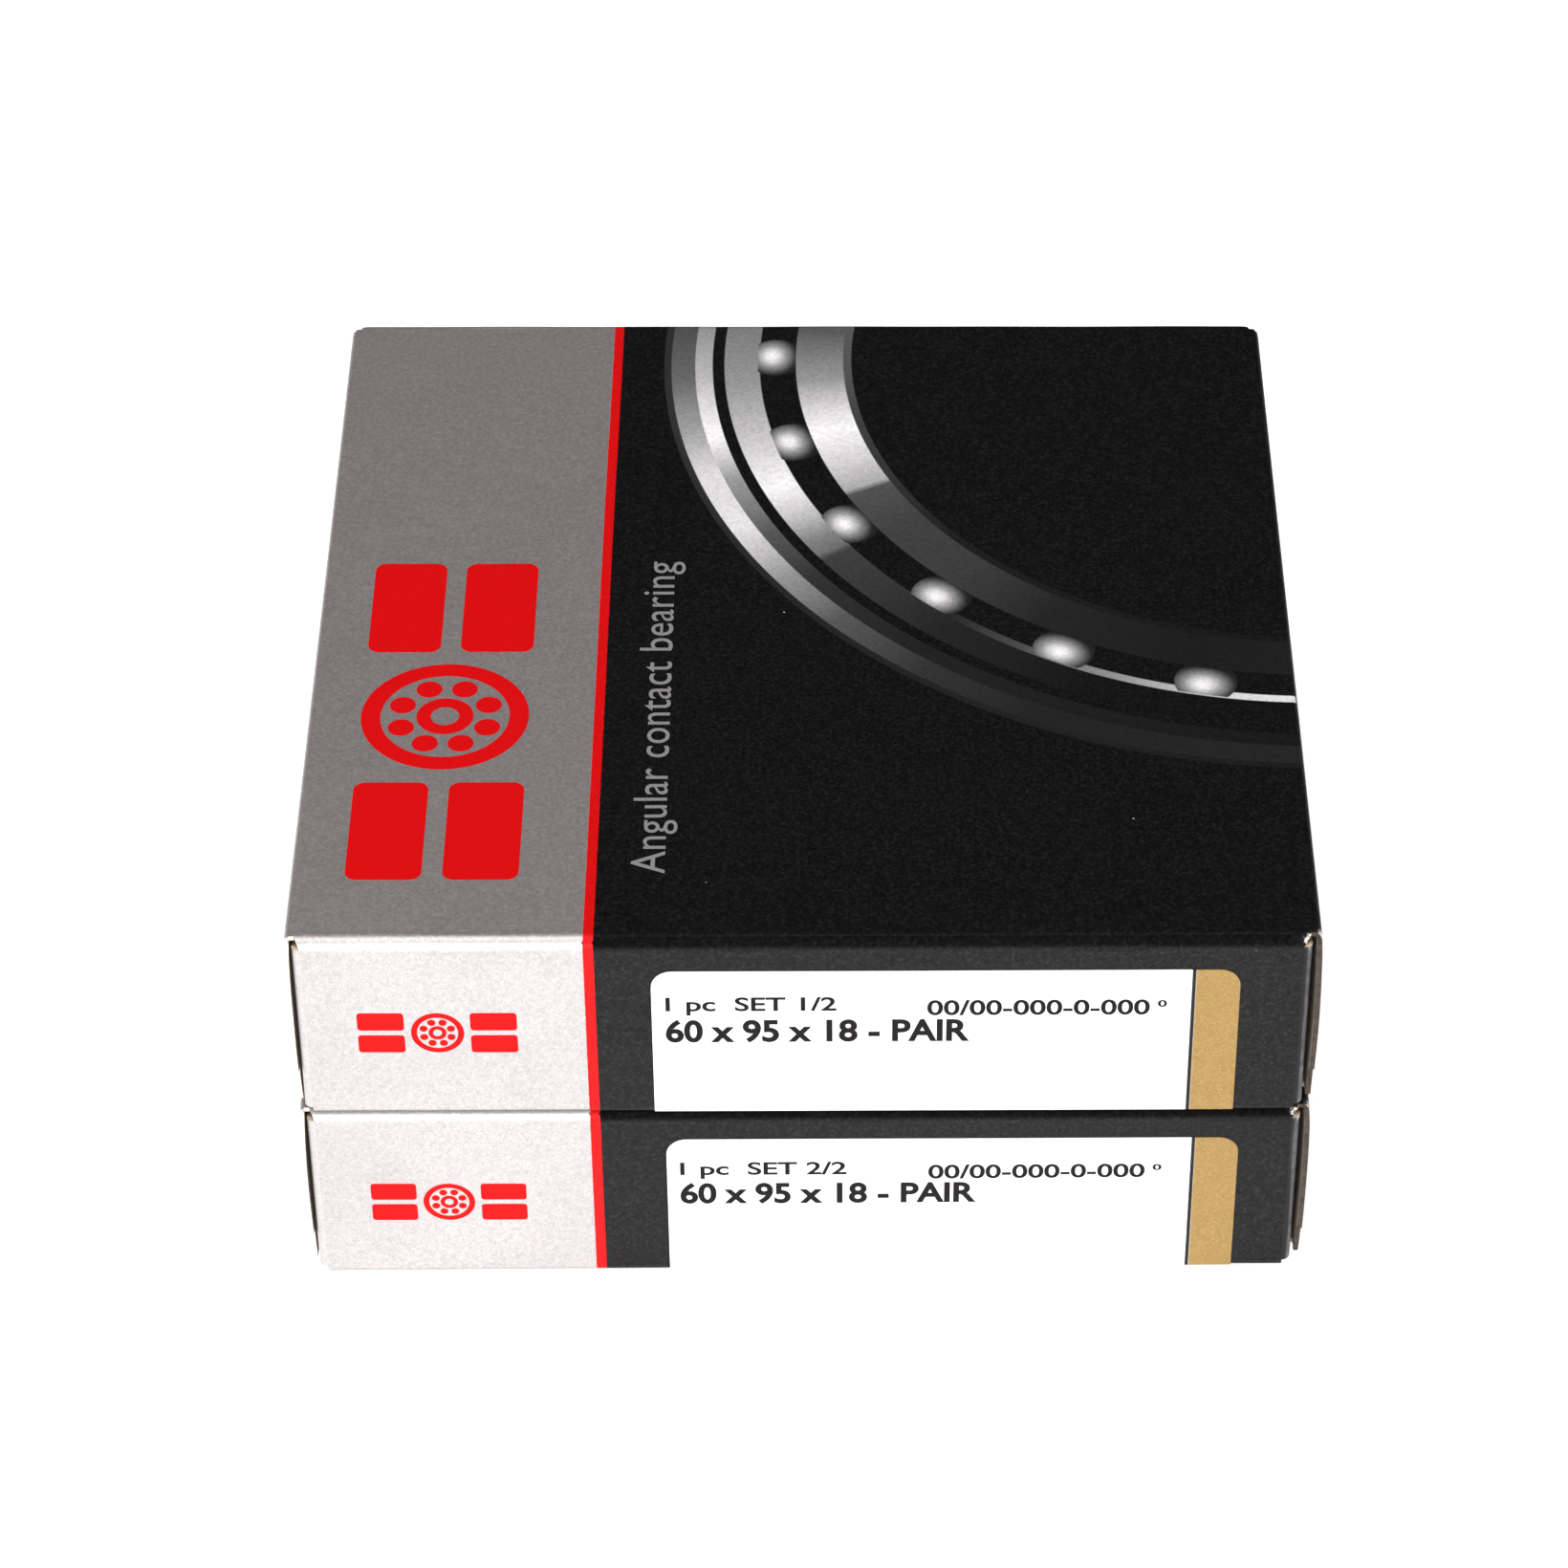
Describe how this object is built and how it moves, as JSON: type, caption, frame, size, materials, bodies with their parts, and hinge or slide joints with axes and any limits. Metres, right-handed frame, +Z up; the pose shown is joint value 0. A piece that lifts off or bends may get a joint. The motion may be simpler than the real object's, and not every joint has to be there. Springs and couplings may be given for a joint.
{
  "type": "boxed angular contact bearing pair",
  "caption": "Matched pair of angular contact ball bearings, each in its own closed printed tuck-end carton, the two cartons stacked flat.",
  "frame": {"origin": "centre of the lower carton's underside", "axes": "+Z up through both bearing axes, -Y out of the labelled front panels, +X out of the right-hand tuck end"},
  "size_m": [0.1, 0.1011, 0.045],
  "materials": {
    "printed_board": "satin",
    "label_paper": "matte",
    "ground_steel": "ground",
    "ball_steel": "polished",
    "laminated_cage": "matte"
  },
  "bodies": {
    "lower_carton": {"lower_carton_body": "printed_board", "lower_label": "label_paper"},
    "upper_carton": {"upper_carton_body": "printed_board", "upper_label": "label_paper"},
    "lower_right_closure": {"lower_right_closure": "printed_board"},
    "lower_right_tuck_tab": {"lower_right_tuck_tab": "printed_board"},
    "lower_right_front_dust_flap": {"lower_right_front_dust_flap": "printed_board"},
    "lower_right_back_dust_flap": {"lower_right_back_dust_flap": "printed_board"},
    "lower_left_closure": {"lower_left_closure": "printed_board"},
    "lower_left_tuck_tab": {"lower_left_tuck_tab": "printed_board"},
    "lower_left_front_dust_flap": {"lower_left_front_dust_flap": "printed_board"},
    "lower_left_back_dust_flap": {"lower_left_back_dust_flap": "printed_board"},
    "lower_bearing": {"lower_outer_ring": "ground_steel"},
    "lower_inner": {"lower_inner_ring": "ground_steel"},
    "lower_cage_set": {"lower_cage": "laminated_cage", "lower_balls": "ball_steel"},
    "upper_right_closure": {"upper_right_closure": "printed_board"},
    "upper_right_tuck_tab": {"upper_right_tuck_tab": "printed_board"},
    "upper_right_front_dust_flap": {"upper_right_front_dust_flap": "printed_board"},
    "upper_right_back_dust_flap": {"upper_right_back_dust_flap": "printed_board"},
    "upper_left_closure": {"upper_left_closure": "printed_board"},
    "upper_left_tuck_tab": {"upper_left_tuck_tab": "printed_board"},
    "upper_left_front_dust_flap": {"upper_left_front_dust_flap": "printed_board"},
    "upper_left_back_dust_flap": {"upper_left_back_dust_flap": "printed_board"},
    "upper_bearing": {"upper_outer_ring": "ground_steel"},
    "upper_inner": {"upper_inner_ring": "ground_steel"},
    "upper_cage_set": {"upper_cage": "laminated_cage", "upper_balls": "ball_steel"}
  },
  "joints": [
    {"name": "upper_carton_lift", "type": "slide", "parent": "lower_carton", "child": "upper_carton", "axis": [0, 0, 1], "range_m": [0, 0.02]},
    {"name": "lower_right_closure_fold", "type": "hinge", "parent": "lower_carton", "child": "lower_right_closure", "pos_m": [0.04975, 0, 0.02225], "axis": [0, -1, 0], "range_deg": [0, 150]},
    {"name": "lower_right_tuck_tab_fold", "type": "hinge", "parent": "lower_right_closure", "child": "lower_right_tuck_tab", "pos_m": [0.0495, 0, 0.0011], "axis": [0, 1, 0], "range_deg": [0, 60.7]},
    {"name": "lower_right_front_dust_flap_fold", "type": "hinge", "parent": "lower_carton", "child": "lower_right_front_dust_flap", "pos_m": [0.0487, -0.05025, 0.0112], "axis": [0, 0, -1], "range_deg": [0, 45.7]},
    {"name": "lower_right_back_dust_flap_fold", "type": "hinge", "parent": "lower_carton", "child": "lower_right_back_dust_flap", "pos_m": [0.0487, 0.05025, 0.0112], "axis": [0, 0, 1], "range_deg": [0, 45.7]},
    {"name": "lower_left_closure_fold", "type": "hinge", "parent": "lower_carton", "child": "lower_left_closure", "pos_m": [-0.04975, 0, 0.02225], "axis": [0, 1, 0], "range_deg": [0, 150.5]},
    {"name": "lower_left_tuck_tab_fold", "type": "hinge", "parent": "lower_left_closure", "child": "lower_left_tuck_tab", "pos_m": [-0.0495, 0, 0.0011], "axis": [0, -1, 0], "range_deg": [0, 60.7]},
    {"name": "lower_left_front_dust_flap_fold", "type": "hinge", "parent": "lower_carton", "child": "lower_left_front_dust_flap", "pos_m": [-0.0487, -0.05025, 0.0112], "axis": [0, 0, 1], "range_deg": [0, 45.7]},
    {"name": "lower_left_back_dust_flap_fold", "type": "hinge", "parent": "lower_carton", "child": "lower_left_back_dust_flap", "pos_m": [-0.0487, 0.05025, 0.0112], "axis": [0, 0, -1], "range_deg": [0, 45.7]},
    {"name": "lower_bearing_slide", "type": "slide", "parent": "lower_carton", "child": "lower_bearing", "axis": [-1, 0, 0], "range_m": [0, 0.0183]},
    {"name": "lower_inner_ring_spin", "type": "hinge", "parent": "lower_bearing", "child": "lower_inner", "pos_m": [0.001, 0, 0.0109], "axis": [0, 0, 1], "continuous": true},
    {"name": "lower_cage_spin", "type": "hinge", "parent": "lower_bearing", "child": "lower_cage_set", "pos_m": [0.001, 0, 0.0109], "axis": [0, 0, 1], "continuous": true},
    {"name": "upper_right_closure_fold", "type": "hinge", "parent": "upper_carton", "child": "upper_right_closure", "pos_m": [0.04975, 0, 0.04475], "axis": [0, -1, 0], "range_deg": [0, 190.5]},
    {"name": "upper_right_tuck_tab_fold", "type": "hinge", "parent": "upper_right_closure", "child": "upper_right_tuck_tab", "pos_m": [0.0495, 0, 0.0236], "axis": [0, 1, 0], "range_deg": [0, 76.7]},
    {"name": "upper_right_front_dust_flap_fold", "type": "hinge", "parent": "upper_carton", "child": "upper_right_front_dust_flap", "pos_m": [0.0487, -0.05025, 0.0337], "axis": [0, 0, -1], "range_deg": [0, 57.7]},
    {"name": "upper_right_back_dust_flap_fold", "type": "hinge", "parent": "upper_carton", "child": "upper_right_back_dust_flap", "pos_m": [0.0487, 0.05025, 0.0337], "axis": [0, 0, 1], "range_deg": [0, 57.7]},
    {"name": "upper_left_closure_fold", "type": "hinge", "parent": "upper_carton", "child": "upper_left_closure", "pos_m": [-0.04975, 0, 0.04475], "axis": [0, 1, 0], "range_deg": [0, 190]},
    {"name": "upper_left_tuck_tab_fold", "type": "hinge", "parent": "upper_left_closure", "child": "upper_left_tuck_tab", "pos_m": [-0.0495, 0, 0.0236], "axis": [0, -1, 0], "range_deg": [0, 76.7]},
    {"name": "upper_left_front_dust_flap_fold", "type": "hinge", "parent": "upper_carton", "child": "upper_left_front_dust_flap", "pos_m": [-0.0487, -0.05025, 0.0337], "axis": [0, 0, 1], "range_deg": [0, 57.7]},
    {"name": "upper_left_back_dust_flap_fold", "type": "hinge", "parent": "upper_carton", "child": "upper_left_back_dust_flap", "pos_m": [-0.0487, 0.05025, 0.0337], "axis": [0, 0, -1], "range_deg": [0, 57.7]},
    {"name": "upper_bearing_slide", "type": "slide", "parent": "upper_carton", "child": "upper_bearing", "axis": [1, 0, 0], "range_m": [0, 0.0232]},
    {"name": "upper_inner_ring_spin", "type": "hinge", "parent": "upper_bearing", "child": "upper_inner", "pos_m": [-0.001, 0, 0.0334], "axis": [0, 0, 1], "continuous": true},
    {"name": "upper_cage_spin", "type": "hinge", "parent": "upper_bearing", "child": "upper_cage_set", "pos_m": [-0.001, 0, 0.0334], "axis": [0, 0, 1], "continuous": true}
  ],
  "couplings": [
    {"joint": "lower_right_tuck_tab_fold", "follows": "lower_right_closure_fold", "ratio": 0.4},
    {"joint": "lower_right_front_dust_flap_fold", "follows": "lower_right_closure_fold", "ratio": 0.3},
    {"joint": "lower_right_back_dust_flap_fold", "follows": "lower_right_closure_fold", "ratio": 0.3},
    {"joint": "lower_left_closure_fold", "follows": "lower_bearing_slide", "rad_per_m": 142.86},
    {"joint": "lower_left_tuck_tab_fold", "follows": "lower_bearing_slide", "rad_per_m": 57.143},
    {"joint": "lower_left_front_dust_flap_fold", "follows": "lower_bearing_slide", "rad_per_m": 42.857},
    {"joint": "lower_left_back_dust_flap_fold", "follows": "lower_bearing_slide", "rad_per_m": 42.857},
    {"joint": "lower_cage_spin", "follows": "lower_inner_ring_spin", "ratio": 0.43502},
    {"joint": "upper_right_closure_fold", "follows": "upper_bearing_slide", "rad_per_m": 142.86},
    {"joint": "upper_right_tuck_tab_fold", "follows": "upper_bearing_slide", "rad_per_m": 57.143},
    {"joint": "upper_right_front_dust_flap_fold", "follows": "upper_bearing_slide", "rad_per_m": 42.857},
    {"joint": "upper_right_back_dust_flap_fold", "follows": "upper_bearing_slide", "rad_per_m": 42.857},
    {"joint": "upper_left_tuck_tab_fold", "follows": "upper_left_closure_fold", "ratio": 0.4},
    {"joint": "upper_left_front_dust_flap_fold", "follows": "upper_left_closure_fold", "ratio": 0.3},
    {"joint": "upper_left_back_dust_flap_fold", "follows": "upper_left_closure_fold", "ratio": 0.3},
    {"joint": "upper_cage_spin", "follows": "upper_inner_ring_spin", "ratio": 0.43502}
  ]
}
